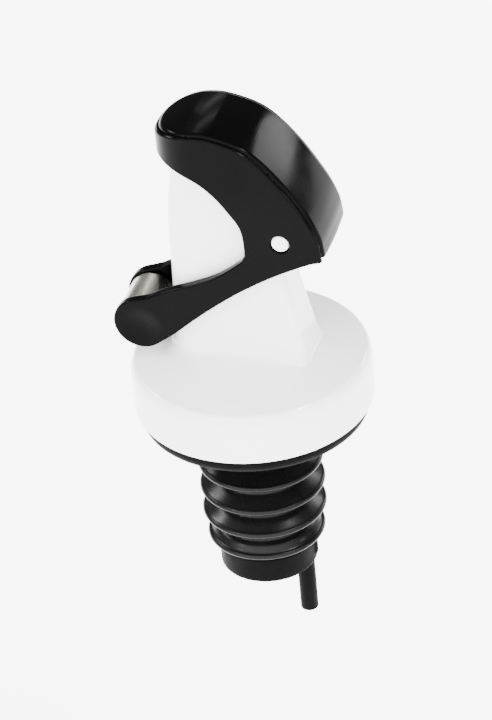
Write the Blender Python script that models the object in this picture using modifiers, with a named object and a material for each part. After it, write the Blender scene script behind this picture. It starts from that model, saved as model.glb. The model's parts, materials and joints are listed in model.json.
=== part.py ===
"""Liquor pour spout with a self-closing flap, built as separate parts.

Frame: metres, +Z up the axis of the bottle stopper, origin on that axis at the underside of the base
plate, where the bottle's rim seats. -Y is the pouring side, +Y is the back, where the flap pivots.
Lengths in this file are millimetres and are turned into metres where a mesh is made.
"""
import math

import bmesh
import bpy
from mathutils import Matrix, Vector

MM = 0.001
GAP = 0.3                       # clearance between neighbouring pieces

# Disc and base plate
DISC_RADIUS = 22.0
DISC_WALL_TOP = 9.9             # where the straight outer wall ends
DISC_SHOULDER_RADIUS = 20.5     # where the rounded shoulder meets the domed top
DISC_SHOULDER_TOP = 12.5
DISC_CROWN = 14.9               # height of the dome on the axis
DISC_WALL = 1.8
DISC_DRAFT = 0.15               # the outer wall leans in by this much at its foot
BASE_THICKNESS = 2.1
BASE_RADIUS = 21.1
BASE_FOOT_RADIUS = 20.8
BASE_RING_TOP = 5.2             # the upright ring that locates the plate inside the disc's wall
BASE_RING_THICKNESS = 1.4
HOUSING_BOTTOM = BASE_THICKNESS + GAP

# Stem, stopper and vent
STEM_RADIUS = 7.2
STEM_FLANGE_RADIUS = 10.4
STEM_FLANGE_THICKNESS = 1.5
STEM_TOP = 7.5
COLLAR_RADIUS = 9.0
COLLAR_TOP = -28.6
COLLAR_BOTTOM = -33.8
RIB_RADIUS = 0.75               # the rib down the back of the collar
RIB_Y = 8.65
RIB_TOP = -28.8
RIB_BOTTOM = -32.6
GASKET_HEIGHT = 1.0
SLEEVE_CORE_RADIUS = 8.3
SLEEVE_HEAD_RADIUS = 8.8
SLEEVE_SEAT_RADIUS = 9.1        # the shallow seat in the base plate that takes the sleeve's head
SLEEVE_SEAT_DEPTH = 0.5
FIN_RADII = (11.6, 11.6, 11.5, 10.9)
FIRST_FIN_RIM = -11.5           # height of the lower edge of the first fin's rim
FIN_PITCH = 5.3
FIN_RIM = 1.1
FIN_DROOP = 1.2                 # the rim hangs this far below the fin's root
CHANNEL_RADIUS = 3.6
CHANNEL_Y = -1.7
VENT_RADIUS = 1.65
VENT_BORE = 0.8
VENT_FIT = 0.15                 # the vent tube is a push fit in its socket
VENT_Y = 6.9
VENT_TOP = -29.8
VENT_TIP = -45.2
AIR_Y = 5.1                     # the air bore inside the stem and the housing

# Spout
SPOUT_LIP = 58.3
SPOUT_NOSE_RADIUS = 4.3
SPOUT_BACK_HALF_WIDTH = 4.9
SPOUT_CORNER_RADIUS = 1.6
AIR_BORE = 1.0

# Pivot
PIVOT_Y = 9.6
PIVOT_Z = 41.0
PIN_RADIUS = 1.6
HEAD_RADIUS = 3.8
BOSS_RADIUS = 3.2
BOSS_HALF_WIDTH = 5.6

# Flap lever
LEVER_WALL = 1.9
VISOR_LIP_WALL = 0.8            # the visor is thinner below, where it swings past the mouth
VISOR_LIP_TOP = 58.6
LEVER_HALF_WIDTH_AT_TIP = 6.2   # at y = ARM_END_Y
LEVER_TAPER = 0.060             # half-width gained per millimetre towards the back
ARM_END_Y = -18.6               # the roller's axle
ARM_END_Z = 20.5
ARM_TIP_Y = -18.5               # centre of the arm's round end
ARM_TIP_Z = 20.3
ARM_TIP_RADIUS = 5.0
VISOR_START = -6.7              # the hood's plan turns into a half circle in front of this
HOOD_SPLIT_Z = 44.0             # the rounded plan applies above this height only
COVER_THICKNESS = 0.9
COVER_MARGIN = 1.05
ROOF_DEPTH = 3.0                # from the cover's top to the underside of the roof

# Weight roller
ROLLER_RADIUS = 4.4
ROLLER_HALF_LENGTH = 4.0
ROLLER_CHAMFER = 0.5
AXLE_RADIUS = 0.9
AXLE_HALF_LENGTH = 5.1

# Mouth seal, a pad under the hood
SEAL_RADIUS = 4.6
SEAL_TOP = 59.8
SEAL_Y = -6.1
SEAL_CHAMFER = 0.4

ROUND = 40                      # sides of a large round piece
SMALL_ROUND = 20                # sides of a small round piece


# ---------------------------------------------------------------- scene helpers

def clear_scene():
    for item in list(bpy.data.objects):
        bpy.data.objects.remove(item, do_unlink=True)


def new_collection(name):
    group = bpy.data.collections.new(name)
    bpy.context.scene.collection.children.link(group)
    return group


def material(name, colour, roughness, metallic=0.0):
    made = bpy.data.materials.new(name)
    made.use_nodes = True
    shader = made.node_tree.nodes["Principled BSDF"]
    shader.inputs["Base Color"].default_value = (*colour, 1.0)
    shader.inputs["Roughness"].default_value = roughness
    shader.inputs["Metallic"].default_value = metallic
    return made


def add_object(name, mesh, group):
    item = bpy.data.objects.new(name, mesh)
    group.objects.link(item)
    return item


def finish_part(item, finish):
    item.data.materials.clear()
    item.data.materials.append(finish)
    item.data.shade_smooth()
    item.data.set_sharp_from_angle(angle=math.radians(35))
    return item


# ---------------------------------------------------------------- outlines

def arc(centre, radius, start, end, steps):
    """Points on an arc, from start to end in degrees, both ends included."""
    points = []
    for step in range(steps + 1):
        angle = math.radians(start + (end - start) * step / steps)
        points.append((centre[0] + radius * math.cos(angle), centre[1] + radius * math.sin(angle)))
    return points


def smooth(points, steps):
    """A Catmull-Rom curve through the points, with that many steps between each pair."""
    padded = [points[0]] + list(points) + [points[-1]]
    curve = []
    for before, start, end, after in zip(padded, padded[1:], padded[2:], padded[3:]):
        for step in range(steps):
            t = step / steps
            curve.append(tuple(
                0.5 * (2 * b + (c - a) * t + (2 * a - 5 * b + 4 * c - d) * t ** 2
                       + (3 * b - a - 3 * c + d) * t ** 3)
                for a, b, c, d in zip(before, start, end, after)))
    curve.append(tuple(points[-1]))
    return curve


def trim(points, first, last):
    """The part of a line between two places, counted in points; 2.5 is halfway from 2 to 3."""
    ends = []
    for place in (first, last):
        index = int(place)
        share = place - index
        (x0, y0), (x1, y1) = points[index], points[index + 1]
        ends.append((x0 + (x1 - x0) * share, y0 + (y1 - y0) * share))
    return [ends[0]] + list(points[int(first) + 1:int(last) + 1]) + [ends[1]]


def offset(points, distance):
    """The open curve moved sideways, to its right for a positive distance."""
    moved = []
    for index, (x, y) in enumerate(points):
        x0, y0 = points[max(index - 1, 0)]
        x1, y1 = points[min(index + 1, len(points) - 1)]
        run = math.hypot(x1 - x0, y1 - y0)
        moved.append((x + distance * (y1 - y0) / run, y - distance * (x1 - x0) / run))
    return moved


def interpolate(table, height):
    """A value at a height, in a straight line between rows of (height, value)."""
    for (z0, v0), (z1, v1) in zip(table, table[1:]):
        if height <= z1:
            t = max(0.0, (height - z0) / (z1 - z0))
            return v0 + (v1 - v0) * t
    return table[-1][1]


# ---------------------------------------------------------------- solids

def weld(mesh):
    shape = bmesh.new()
    shape.from_mesh(mesh)
    bmesh.ops.remove_doubles(shape, verts=shape.verts, dist=1e-7)
    bmesh.ops.recalc_face_normals(shape, faces=shape.faces)
    shape.to_mesh(mesh)
    shape.free()


def bake(item):
    """Replace the object's mesh with what its modifiers make of it."""
    bpy.context.view_layer.update()
    seen = item.evaluated_get(bpy.context.evaluated_depsgraph_get())
    mesh = bpy.data.meshes.new_from_object(seen)
    mesh.name = item.name
    item.modifiers.clear()
    item.data = mesh
    weld(mesh)


def extruded(name, outline, low, high, axis, group):
    """A flat outline given thickness from low to high along X (outline in Y, Z) or Z (in X, Y)."""
    curve = bpy.data.curves.new(name, "CURVE")
    curve.dimensions = "2D"
    curve.fill_mode = "BOTH"
    curve.extrude = 0.5 * (high - low) * MM
    spline = curve.splines.new("POLY")
    spline.points.add(len(outline) - 1)
    for point, (x, y) in zip(spline.points, outline):
        point.co = (x * MM, y * MM, 0.0, 1.0)
    spline.use_cyclic_u = True
    flat = add_object(name + "_outline", curve, group)
    middle = 0.5 * (high + low) * MM
    if axis == "X":
        turn = Matrix.Rotation(math.radians(90), 4, "Z") @ Matrix.Rotation(math.radians(90), 4, "X")
        flat.matrix_world = Matrix.Translation((middle, 0, 0)) @ turn
    else:
        flat.matrix_world = Matrix.Translation((0, 0, middle))
    bpy.context.view_layer.update()
    seen = flat.evaluated_get(bpy.context.evaluated_depsgraph_get())
    mesh = bpy.data.meshes.new_from_object(seen)
    mesh.name = name
    mesh.transform(flat.matrix_world)
    bpy.data.objects.remove(flat, do_unlink=True)
    weld(mesh)
    return add_object(name, mesh, group)


def turned(name, profile, group, sides=ROUND, centre=(0.0, 0.0)):
    """A solid of revolution about Z. The profile runs down the outer side, then up the inner one."""
    shape = bmesh.new()
    corners = [shape.verts.new((r * MM, 0.0, z * MM)) for r, z in profile]
    for start, end in zip(corners, corners[1:]):
        shape.edges.new((start, end))
    if profile[0][0] > 0:
        shape.edges.new((corners[-1], corners[0]))
    mesh = bpy.data.meshes.new(name)
    shape.to_mesh(mesh)
    shape.free()
    item = add_object(name, mesh, group)
    item.location = (centre[0] * MM, centre[1] * MM, 0.0)
    screw = item.modifiers.new("turn", "SCREW")
    screw.axis = "Z"
    screw.steps = sides
    screw.render_steps = sides
    screw.use_merge_vertices = True
    screw.merge_threshold = 1e-6
    bake(item)
    return item


def rod(name, radius, low, high, group, axis="Z", centre=(0.0, 0.0), sides=SMALL_ROUND, chamfer=0.0):
    """A round bar from low to high along X (centre in Y, Z) or along Z (centre in X, Y)."""
    shape = bmesh.new()
    bmesh.ops.create_cone(shape, cap_ends=True, segments=sides, radius1=radius * MM,
                          radius2=radius * MM, depth=(high - low) * MM)
    if chamfer > 0:
        rims = [edge for edge in shape.edges if abs(edge.verts[0].co.z - edge.verts[1].co.z) < 1e-9]
        bmesh.ops.bevel(shape, geom=rims, offset=chamfer * MM, segments=2, affect="EDGES", profile=0.5)
    if axis == "X":
        place = Matrix.Translation((0.5 * (high + low) * MM, centre[0] * MM, centre[1] * MM))
        place = place @ Matrix.Rotation(math.radians(90), 4, "Y")
    else:
        place = Matrix.Translation((centre[0] * MM, centre[1] * MM, 0.5 * (high + low) * MM))
    bmesh.ops.transform(shape, matrix=place, verts=shape.verts)
    mesh = bpy.data.meshes.new(name)
    shape.to_mesh(mesh)
    shape.free()
    return add_object(name, mesh, group)


def lofted(name, sections, group):
    """A closed skin through rings of equal length, each a list of (x, y) at a height z."""
    shape = bmesh.new()
    rings = [[shape.verts.new((x * MM, y * MM, z * MM)) for x, y in ring] for z, ring in sections]
    for lower, upper in zip(rings, rings[1:]):
        for index in range(len(lower)):
            nxt = (index + 1) % len(lower)
            shape.faces.new((lower[index], lower[nxt], upper[nxt], upper[index]))
    shape.faces.new(rings[0][::-1])
    shape.faces.new(rings[-1])
    bmesh.ops.recalc_face_normals(shape, faces=shape.faces)
    mesh = bpy.data.meshes.new(name)
    shape.to_mesh(mesh)
    shape.free()
    return add_object(name, mesh, group)


def combine(target, other, operation):
    """One Boolean, applied, so that the next one starts from a plain mesh."""
    step = target.modifiers.new(operation.lower(), "BOOLEAN")
    step.operation = operation
    step.solver = "EXACT"
    step.object = other
    bake(target)


def keep_as_guide(*cutters):
    for cutter in cutters:
        cutter.hide_render = True
        cutter.display_type = "WIRE"


# ---------------------------------------------------------------- spout housing

def spout_plan(height, inset=0.0):
    """The spout's plan at a height: a rounded nose in front and a square back with round corners."""
    front = interpolate(((12.0, -14.3), (14.4, -13.9), (17.0, -13.6), (29.4, -13.2), (42.4, -12.8),
                         (52.4, -11.3), (62.0, -9.9)), height) + inset
    back = interpolate(((12.0, 12.6), (14.4, 12.1), (16.5, 11.6), (21.9, 10.6), (28.0, 9.4), (34.0, 8.5),
                        (36.0, 15.5), (62.0, 15.5)), height) - inset
    flare = interpolate(((12.0, 2.0), (14.4, 1.5), (16.5, 0.9), (21.0, 0.3), (25.0, 0.0), (62.0, 0.0)),
                        height)
    nose = SPOUT_NOSE_RADIUS + flare - inset
    half = SPOUT_BACK_HALF_WIDTH + flare - inset
    corner = SPOUT_CORNER_RADIUS
    right_corner = arc((half - corner, back - corner), corner, 0, 90, 5)
    left_corner = arc((corner - half, back - corner), corner, 90, 180, 5)
    round_nose = arc((0.0, front + nose), nose, 180, 360, 18)
    return right_corner + left_corner + round_nose


def spout_side():
    """The spout's outline from the side, (y, z): mouth, sloping top, pivot head and concave back."""
    top = [(-2.5, 57.9), (1.6, 56.3), (5.4, 52.9), (9.0, 48.9)]
    head = arc((PIVOT_Y, PIVOT_Z), HEAD_RADIUS, 60, -75, 9)
    neck = [(9.4, 36.4), (8.7, 34.8), (8.6, 32.6), (9.4, 27.9), (10.6, 21.9), (11.6, 16.6), (12.6, 12.0)]
    return [(-18.0, 12.0), (-18.0, SPOUT_LIP), (-4.5, SPOUT_LIP)] + smooth(top, 4) + head + neck


def build_housing(parts, cutters, finish):
    heights = [12.0, 13.2, 14.4, 16.5, 18.5, 21.9, 25.0, 28.0, 31.0, 34.0, 36.0, 42.4, 47.4, 52.4, 62.0]
    spout = lofted("spout_housing", [(z, spout_plan(z)) for z in heights], parts)
    side = extruded("spout_side_guide", spout_side(), -9.0, 9.0, "X", cutters)
    combine(spout, side, "INTERSECT")
    bosses = rod("pivot_boss_guide", BOSS_RADIUS, -BOSS_HALF_WIDTH, BOSS_HALF_WIDTH, cutters, "X",
                 (PIVOT_Y, PIVOT_Z), 28)
    combine(spout, bosses, "UNION")

    # The dome is a parabola from the crown to the shoulder, then a quarter ellipse to the wall.
    dome = [(0.0, DISC_CROWN)]
    for step in range(1, 7):
        radius = DISC_SHOULDER_RADIUS * step / 6
        dome.append((radius, DISC_CROWN - (DISC_CROWN - DISC_SHOULDER_TOP) * (step / 6) ** 2))
    rise = DISC_SHOULDER_TOP - DISC_WALL_TOP
    run = DISC_RADIUS - DISC_SHOULDER_RADIUS
    for angle in (65, 45, 25, 0):
        dome.append((DISC_SHOULDER_RADIUS + run * math.cos(math.radians(angle)),
                     DISC_WALL_TOP + rise * math.sin(math.radians(angle))))
    disc = turned("disc_guide", dome + [(DISC_RADIUS - DISC_DRAFT, HOUSING_BOTTOM), (0.0, HOUSING_BOTTOM)],
                  cutters, 56)
    combine(spout, disc, "UNION")

    # Underside: a ring-shaped hollow round a central boss that receives the stem.
    ceiling = DISC_SHOULDER_TOP - DISC_WALL
    socket = STEM_FLANGE_RADIUS + GAP
    hollow = turned("hollow_guide", [(DISC_RADIUS - DISC_WALL, ceiling), (DISC_RADIUS - DISC_WALL, 0.0),
                                     (socket + DISC_WALL, 0.0), (socket + DISC_WALL, ceiling)], cutters, 48)
    flange_seat = HOUSING_BOTTOM + STEM_FLANGE_THICKNESS + GAP + GASKET_HEIGHT + GAP
    seat = turned("stem_seat_guide", [(0.0, STEM_TOP + GAP), (STEM_RADIUS + GAP, STEM_TOP + GAP),
                                      (STEM_RADIUS + GAP, flange_seat), (socket, flange_seat),
                                      (socket, 0.0), (0.0, 0.0)], cutters, ROUND)
    combine(spout, hollow, "DIFFERENCE")
    combine(spout, seat, "DIFFERENCE")

    # Pour channel, from the stem's bore to the mouth, and the air bore behind it.
    channel_rows = ((6.0, CHANNEL_Y, 3.6, 3.6), (16.0, -3.2, 4.4, 3.7), (28.0, -5.0, 5.6, 3.6),
                    (42.0, -5.4, 5.2, 3.5), (52.0, -5.8, 4.1, 3.2), (62.0, -5.7, 3.5, 3.0))
    rings = []
    for height, middle, along, across in channel_rows:
        circle = arc((0.0, 0.0), 1.0, 0, 360 - 360 / 24, 23)
        rings.append((height, [(x * across, middle + y * along) for x, y in circle]))
    channel = lofted("pour_channel_guide", rings, cutters)
    combine(spout, channel, "DIFFERENCE")
    air = rod("air_bore_guide", AIR_BORE, 6.0, 62.0, cutters, "Z", (0.0, AIR_Y), 12)
    combine(spout, air, "DIFFERENCE")
    bore = rod("pin_bore_guide", PIN_RADIUS + GAP, -12.0, 12.0, cutters, "X", (PIVOT_Y, PIVOT_Z))
    combine(spout, bore, "DIFFERENCE")
    keep_as_guide(side, bosses, disc, hollow, seat, channel, air, bore)
    return finish_part(spout, finish)


# ---------------------------------------------------------------- base, stem, stopper and vent

def build_base_plate(parts, finish):
    ring_outer = DISC_RADIUS - DISC_WALL - GAP
    ring_inner = ring_outer - BASE_RING_THICKNESS
    plate = turned("base_plate", [
        (ring_outer - 0.4, BASE_RING_TOP), (ring_outer, BASE_RING_TOP - 0.4), (ring_outer, BASE_THICKNESS),
        (BASE_RADIUS, BASE_THICKNESS), (BASE_RADIUS, 0.9), (BASE_FOOT_RADIUS, 0.2),
        (BASE_FOOT_RADIUS - 0.3, 0.0), (SLEEVE_SEAT_RADIUS, 0.0), (SLEEVE_SEAT_RADIUS, SLEEVE_SEAT_DEPTH),
        (STEM_RADIUS + GAP, SLEEVE_SEAT_DEPTH), (STEM_RADIUS + GAP, BASE_THICKNESS),
        (ring_inner, BASE_THICKNESS), (ring_inner, BASE_RING_TOP)],
        parts, 48)
    return finish_part(plate, finish)


def build_stem(parts, cutters, finish):
    flange_low = BASE_THICKNESS + GAP
    flange_high = flange_low + STEM_FLANGE_THICKNESS
    stem = turned("stem_tube", [
        (0.0, STEM_TOP), (STEM_RADIUS - 0.4, STEM_TOP), (STEM_RADIUS, STEM_TOP - 0.4),
        (STEM_RADIUS, flange_high), (STEM_FLANGE_RADIUS, flange_high), (STEM_FLANGE_RADIUS, flange_low),
        (STEM_RADIUS, flange_low), (STEM_RADIUS, COLLAR_TOP), (COLLAR_RADIUS - 0.2, COLLAR_TOP),
        (COLLAR_RADIUS, COLLAR_TOP - 0.3),
        (COLLAR_RADIUS, COLLAR_BOTTOM + 0.5), (COLLAR_RADIUS - 0.5, COLLAR_BOTTOM), (0.0, COLLAR_BOTTOM)],
        cutters, 48)
    rib = rod("stem_rib_guide", RIB_RADIUS, RIB_BOTTOM, RIB_TOP, cutters, "Z", (0.0, RIB_Y), 12, 0.3)
    combine(stem, rib, "UNION")
    channel = rod("stem_channel_guide", CHANNEL_RADIUS, COLLAR_BOTTOM - 5, STEM_TOP + 5, cutters, "Z",
                  (0.0, CHANNEL_Y), 24)
    combine(stem, channel, "DIFFERENCE")
    air = rod("stem_air_guide", AIR_BORE, VENT_TOP - 1.5, STEM_TOP + 5, cutters, "Z", (0.0, AIR_Y), 12)
    combine(stem, air, "DIFFERENCE")
    socket = rod("vent_socket_guide", VENT_RADIUS + VENT_FIT, COLLAR_BOTTOM - 5, VENT_TOP + GAP, cutters, "Z",
                 (0.0, VENT_Y), SMALL_ROUND)
    combine(stem, socket, "DIFFERENCE")
    keep_as_guide(rib, channel, air, socket)
    for group in list(stem.users_collection):
        group.objects.unlink(stem)
    parts.objects.link(stem)
    return finish_part(stem, finish)


def build_gasket(parts, finish):
    low = BASE_THICKNESS + GAP + STEM_FLANGE_THICKNESS + GAP
    inner = STEM_RADIUS + GAP
    high = low + GASKET_HEIGHT
    ring = turned("stem_gasket", [(STEM_FLANGE_RADIUS, high), (STEM_FLANGE_RADIUS, low), (inner, low),
                                  (inner, high)], parts)
    return finish_part(ring, finish)


def build_sleeve(parts, finish):
    """The rubber stopper: a thin sleeve with four fins whose rims hang below their roots."""
    core = SLEEVE_CORE_RADIUS
    top = SLEEVE_SEAT_DEPTH - GAP
    profile = [(SLEEVE_HEAD_RADIUS, top), (SLEEVE_HEAD_RADIUS, -1.6), (core, -2.4)]
    for number, radius in enumerate(FIN_RADII):
        rim = FIRST_FIN_RIM - FIN_PITCH * number
        root = rim + FIN_RIM + FIN_DROOP
        profile += [(core, root + 0.9), (core + 0.4, root + 0.3), (radius - 0.35, rim + FIN_RIM),
                    (radius, rim + FIN_RIM - 0.35), (radius, rim + 0.35), (radius - 0.35, rim),
                    (core + 0.3, rim + FIN_DROOP - 0.6), (core, rim + FIN_DROOP - 1.2)]
    foot = COLLAR_TOP + GAP
    inner = STEM_RADIUS + GAP
    profile += [(core, foot), (inner, foot), (inner, top)]
    sleeve = turned("stopper_sleeve", profile, parts, 36)
    return finish_part(sleeve, finish)


def build_vent(parts, finish):
    tube = turned("vent_tube", [
        (VENT_RADIUS - 0.2, VENT_TOP), (VENT_RADIUS, VENT_TOP - 0.2), (VENT_RADIUS, VENT_TIP + 0.6),
        (VENT_RADIUS - 0.2, VENT_TIP + 0.15), (VENT_RADIUS - 0.5, VENT_TIP), (VENT_BORE, VENT_TIP),
        (VENT_BORE, VENT_TOP)], parts, SMALL_ROUND, (0.0, VENT_Y))
    return finish_part(tube, finish)


def build_pin(parts, finish):
    reach = lever_half_width(PIVOT_Y) - 0.2
    pin = rod("pivot_pin", PIN_RADIUS, -reach, reach, parts, "X", (PIVOT_Y, PIVOT_Z), 28, 0.25)
    return finish_part(pin, finish)


# ---------------------------------------------------------------- flap lever

def lever_half_width(y):
    return LEVER_HALF_WIDTH_AT_TIP + LEVER_TAPER * (y - ARM_END_Y)


def hood_top_line():
    """The hood's top from the front lip over the crest to the lower back corner, as (y, z)."""
    return smooth([(-13.7, 60.3), (-12.9, 61.9), (-10.1, 63.2), (-5.6, 63.75), (-1.2, 63.4), (5.1, 60.75),
                   (10.5, 55.0), (15.2, 47.6), (17.1, 42.9), (17.65, 40.2), (17.75, 38.5)], 3)


def lever_side():
    """The lever's outline from the side: hood, cheek, arm with its round end, and the open middle."""
    back = [(17.45, 38.15), (16.1, 37.9)]
    lower = smooth([(15.2, 37.5), (12.2, 36.1), (7.3, 33.5), (0.8, 29.35), (-6.1, 24.05), (-12.2, 18.75)], 2)
    tip = arc((ARM_TIP_Y, ARM_TIP_Z), ARM_TIP_RADIUS, -55, -250, 16)
    upper = smooth([(-16.8, 26.0), (-12.8, 28.1), (-7.8, 30.1), (-2.9, 32.5), (1.1, 35.5)], 2)
    inner = smooth([(2.75, 38.4), (2.3, 43.0), (0.4, 46.15), (-2.3, 49.6), (-5.7, 52.25), (-10.1, 54.55),
                    (-13.8, 55.9)], 3)
    return hood_top_line() + back + lower + tip + upper + [(2.3, 36.9)] + inner


def lever_plan(inset, rounded):
    """The lever's plan: tapering sides, with a half-round visor in front where rounded."""
    back, front = 30.0, -30.0
    if not rounded:
        return [(lever_half_width(back) - inset, back), (inset - lever_half_width(back), back),
                (inset - lever_half_width(front), front), (lever_half_width(front) - inset, front)]
    nose = lever_half_width(VISOR_START) - inset
    sides = [(lever_half_width(back) - inset, back), (inset - lever_half_width(back), back)]
    return sides + arc((0.0, VISOR_START), nose, 180, 360, 24)


def plan_block(name, inset, cutters):
    """The lever's plan as a solid: the rounded visor above the split, plain tapering sides below."""
    block = extruded(name, lever_plan(inset, True), HOOD_SPLIT_Z - 1.0, 80.0, "Z", cutters)
    below = extruded(name + "_below", lever_plan(inset, False), 0.0, HOOD_SPLIT_Z, "Z", cutters)
    combine(block, below, "UNION")
    bpy.data.objects.remove(below, do_unlink=True)
    return block


def build_lever(parts, cutters, finish):
    lever = extruded("lever_frame", lever_side(), -14.0, 14.0, "X", parts)
    outside = plan_block("lever_outside_guide", 0.0, cutters)
    combine(lever, outside, "INTERSECT")

    # The hollow between the cheeks, below the roof, open in front, below and behind the arms.
    roof = offset(hood_top_line(), ROOF_DEPTH)[5:]
    space = [(-40.0, roof[0][1])] + roof + [(15.3, 38.0), (15.3, 0.0), (-40.0, 0.0)]
    hollow = extruded("lever_hollow_guide", space, -14.0, 14.0, "X", cutters)
    inside = plan_block("lever_inside_guide", LEVER_WALL, cutters)
    combine(hollow, inside, "INTERSECT")
    combine(lever, hollow, "DIFFERENCE")

    # The mouth's front corner swings through the lower front of the visor as the lever lifts.
    lip_radius = lever_half_width(VISOR_START) - VISOR_LIP_WALL
    relief = extruded("visor_relief_guide", arc((0.0, VISOR_START), lip_radius, 180, 360, 24),
                      HOOD_SPLIT_Z + 1.0, VISOR_LIP_TOP, "Z", cutters)
    combine(lever, relief, "DIFFERENCE")

    # The cover's recess follows the top line and runs out through the frame's lower back edge.
    recess_line = trim(hood_top_line(), 3.2, 29.9) + [(17.8, 36.0)]
    recess_side = offset(recess_line, -2.0) + offset(recess_line, COVER_THICKNESS + GAP)[::-1]
    recess = extruded("cover_recess_guide", recess_side, -14.0, 14.0, "X", cutters)
    recess_plan = extruded("cover_recess_plan_guide", lever_plan(COVER_MARGIN - GAP, True), 0.0, 90.0, "Z",
                           cutters)
    combine(recess, recess_plan, "INTERSECT")
    combine(lever, recess, "DIFFERENCE")

    pin_hole = rod("pin_hole_guide", PIN_RADIUS + GAP, -14.0, 14.0, cutters, "X", (PIVOT_Y, PIVOT_Z), 28)
    axle_seat = rod("axle_seat_guide", AXLE_RADIUS + GAP, -AXLE_HALF_LENGTH - GAP, AXLE_HALF_LENGTH + GAP,
                    cutters, "X", (ARM_END_Y, ARM_END_Z))
    combine(lever, pin_hole, "DIFFERENCE")
    combine(lever, axle_seat, "DIFFERENCE")
    keep_as_guide(outside, hollow, inside, relief, recess, recess_plan, pin_hole, axle_seat)
    return finish_part(lever, finish)


def build_cover(parts, cutters, finish):
    line = trim(hood_top_line(), 3.5, 29.5)
    side = line + offset(line, COVER_THICKNESS)[::-1]
    cover = extruded("hood_cover", side, -14.0, 14.0, "X", parts)
    plan = extruded("cover_plan_guide", lever_plan(COVER_MARGIN, True), 0.0, 90.0, "Z", cutters)
    combine(cover, plan, "INTERSECT")
    keep_as_guide(plan)
    return finish_part(cover, finish)


def build_mouth_seal(parts, finish):
    top, bottom = SEAL_TOP, SPOUT_LIP + GAP
    flat = SEAL_RADIUS - SEAL_CHAMFER
    pad = turned("mouth_seal", [(0.0, top), (flat, top), (SEAL_RADIUS, top - SEAL_CHAMFER),
                                (SEAL_RADIUS, bottom + SEAL_CHAMFER), (flat, bottom), (0.0, bottom)],
                 parts, 32, (0.0, SEAL_Y))
    return finish_part(pad, finish)


def build_roller(parts, cutters, steel, axle_finish):
    where = (ARM_END_Y, ARM_END_Z)
    roller = rod("weight_roller", ROLLER_RADIUS, -ROLLER_HALF_LENGTH, ROLLER_HALF_LENGTH, parts, "X", where,
                 36, ROLLER_CHAMFER)
    bore = rod("roller_bore_guide", AXLE_RADIUS + GAP, -12.0, 12.0, cutters, "X", where)
    combine(roller, bore, "DIFFERENCE")
    keep_as_guide(bore)
    axle = rod("roller_axle", AXLE_RADIUS, -AXLE_HALF_LENGTH, AXLE_HALF_LENGTH, parts, "X", where,
               SMALL_ROUND, 0.15)
    return finish_part(roller, steel), finish_part(axle, axle_finish)


def hang_on_joints(lever_items, roller):
    """Empties on the two joint axes, so that the flap and the roller turn about them."""
    parts = lever_items[0].users_collection[0]
    pivot = add_object("lever_pivot", None, parts)
    pivot.location = Vector((0.0, PIVOT_Y, PIVOT_Z)) * MM
    spindle = add_object("roller_spindle", None, parts)
    spindle.parent = pivot
    spindle.location = Vector((0.0, ARM_END_Y - PIVOT_Y, ARM_END_Z - PIVOT_Z)) * MM
    bpy.context.view_layer.update()
    for item in lever_items:
        item.parent = pivot
        item.matrix_parent_inverse = pivot.matrix_world.inverted()
    roller.parent = spindle
    roller.matrix_parent_inverse = spindle.matrix_world.inverted()


def main():
    clear_scene()
    parts = new_collection("liquor_pour_spout")
    cutters = new_collection("cutters")
    white = material("white_plastic", (0.86, 0.86, 0.85), 0.22)
    black = material("black_plastic", (0.012, 0.012, 0.013), 0.12)
    rubber = material("black_rubber", (0.010, 0.010, 0.011), 0.30)
    grey = material("dark_grey_plastic", (0.030, 0.030, 0.032), 0.50)
    steel = material("brushed_steel", (0.62, 0.58, 0.54), 0.28, 1.0)
    silicone = material("clear_silicone", (0.60, 0.60, 0.58), 0.45)

    build_housing(parts, cutters, white)
    build_base_plate(parts, grey)
    build_stem(parts, cutters, grey)
    build_gasket(parts, silicone)
    build_sleeve(parts, rubber)
    build_vent(parts, rubber)
    build_pin(parts, white)
    lever = build_lever(parts, cutters, black)
    cover = build_cover(parts, cutters, black)
    seal = build_mouth_seal(parts, silicone)
    roller, axle = build_roller(parts, cutters, steel, steel)
    hang_on_joints([lever, cover, seal, axle], roller)


main()
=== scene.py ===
"""Looks for the liquor pour spout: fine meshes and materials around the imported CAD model.

Every visible piece is a smooth surface found from a distance field or turned from a profile, in
millimetres, and made into a mesh in metres. Positions come from the CAD nodes' boxes.
"""
import json
import math

import bmesh
import bpy
import numpy as np
from mathutils import Matrix, Vector


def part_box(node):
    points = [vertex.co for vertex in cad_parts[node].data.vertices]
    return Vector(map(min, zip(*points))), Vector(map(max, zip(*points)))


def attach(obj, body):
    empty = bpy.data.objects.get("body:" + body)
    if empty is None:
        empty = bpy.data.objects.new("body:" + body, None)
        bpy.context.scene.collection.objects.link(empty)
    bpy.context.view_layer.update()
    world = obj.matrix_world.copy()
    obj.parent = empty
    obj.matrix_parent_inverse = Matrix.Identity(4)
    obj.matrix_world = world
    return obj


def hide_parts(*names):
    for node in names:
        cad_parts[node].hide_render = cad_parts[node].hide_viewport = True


MM = 0.001
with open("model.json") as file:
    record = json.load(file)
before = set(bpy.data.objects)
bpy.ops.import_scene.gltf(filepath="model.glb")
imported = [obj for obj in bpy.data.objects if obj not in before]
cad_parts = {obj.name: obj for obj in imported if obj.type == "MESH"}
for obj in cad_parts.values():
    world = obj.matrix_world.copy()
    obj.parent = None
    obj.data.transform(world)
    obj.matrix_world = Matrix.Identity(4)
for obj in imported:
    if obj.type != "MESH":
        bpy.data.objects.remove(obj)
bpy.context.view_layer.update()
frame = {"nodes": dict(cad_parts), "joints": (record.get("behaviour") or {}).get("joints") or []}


def millimetres(node):
    low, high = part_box(node)
    return np.array(low) / MM, np.array(high) / MM


def joint_place(name):
    """The (Y, Z) of a joint's axis, in millimetres."""
    for joint in frame["joints"]:
        if joint["name"] == name:
            return joint["pos_m"][1] / MM, joint["pos_m"][2] / MM
    raise ValueError(name)


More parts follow.
